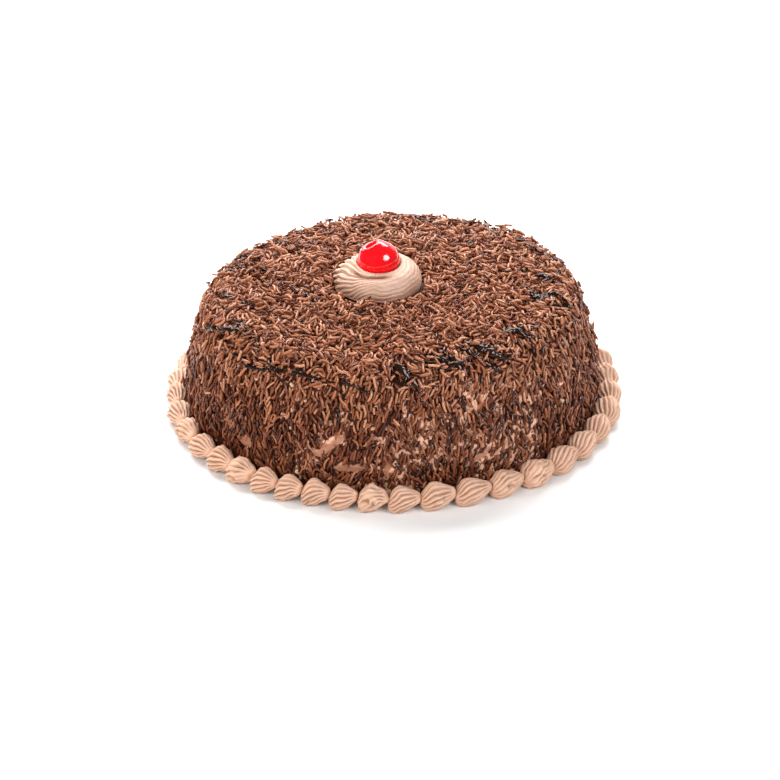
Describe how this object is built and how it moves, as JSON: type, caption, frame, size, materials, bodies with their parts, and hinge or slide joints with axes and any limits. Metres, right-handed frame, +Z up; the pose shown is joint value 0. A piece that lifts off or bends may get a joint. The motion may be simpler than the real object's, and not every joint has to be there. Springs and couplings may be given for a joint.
{
  "type": "brigadeiro cake",
  "caption": "Round uncut chocolate cake coated in chocolate sprinkles, ringed at its foot by piped cream shells, with a cream rosette and a red cherry on top.",
  "frame": {"origin": "middle of the flat base, on the surface that the cake stands on", "axes": "+Z up, -Y towards the viewer of the picture, +X to the picture's right"},
  "size_m": [0.238, 0.239, 0.0907],
  "materials": {
    "sprinkled_icing": "chocolate icing thickly coated in milk and dark chocolate sprinkles",
    "cream": "satin light chocolate buttercream with combed ridges",
    "cherry": "wet glossy red"
  },
  "bodies": {
    "root": {"cake": "sprinkled_icing", "rosette": "cream", "cherry": "cherry", "shell_01": "cream", "shell_02": "cream", "shell_03": "cream", "shell_04": "cream", "shell_05": "cream", "shell_06": "cream", "shell_07": "cream", "shell_08": "cream", "shell_09": "cream", "shell_10": "cream", "shell_11": "cream", "shell_12": "cream", "shell_13": "cream", "shell_14": "cream", "shell_15": "cream", "shell_16": "cream", "shell_17": "cream", "shell_18": "cream", "shell_19": "cream", "shell_20": "cream", "shell_21": "cream", "shell_22": "cream", "shell_23": "cream", "shell_24": "cream", "shell_25": "cream", "shell_26": "cream", "shell_27": "cream", "shell_28": "cream", "shell_29": "cream", "shell_30": "cream", "shell_31": "cream", "shell_32": "cream", "shell_33": "cream", "shell_34": "cream", "shell_35": "cream", "shell_36": "cream", "shell_37": "cream", "shell_38": "cream", "shell_39": "cream", "shell_40": "cream"}
  },
  "joints": []
}
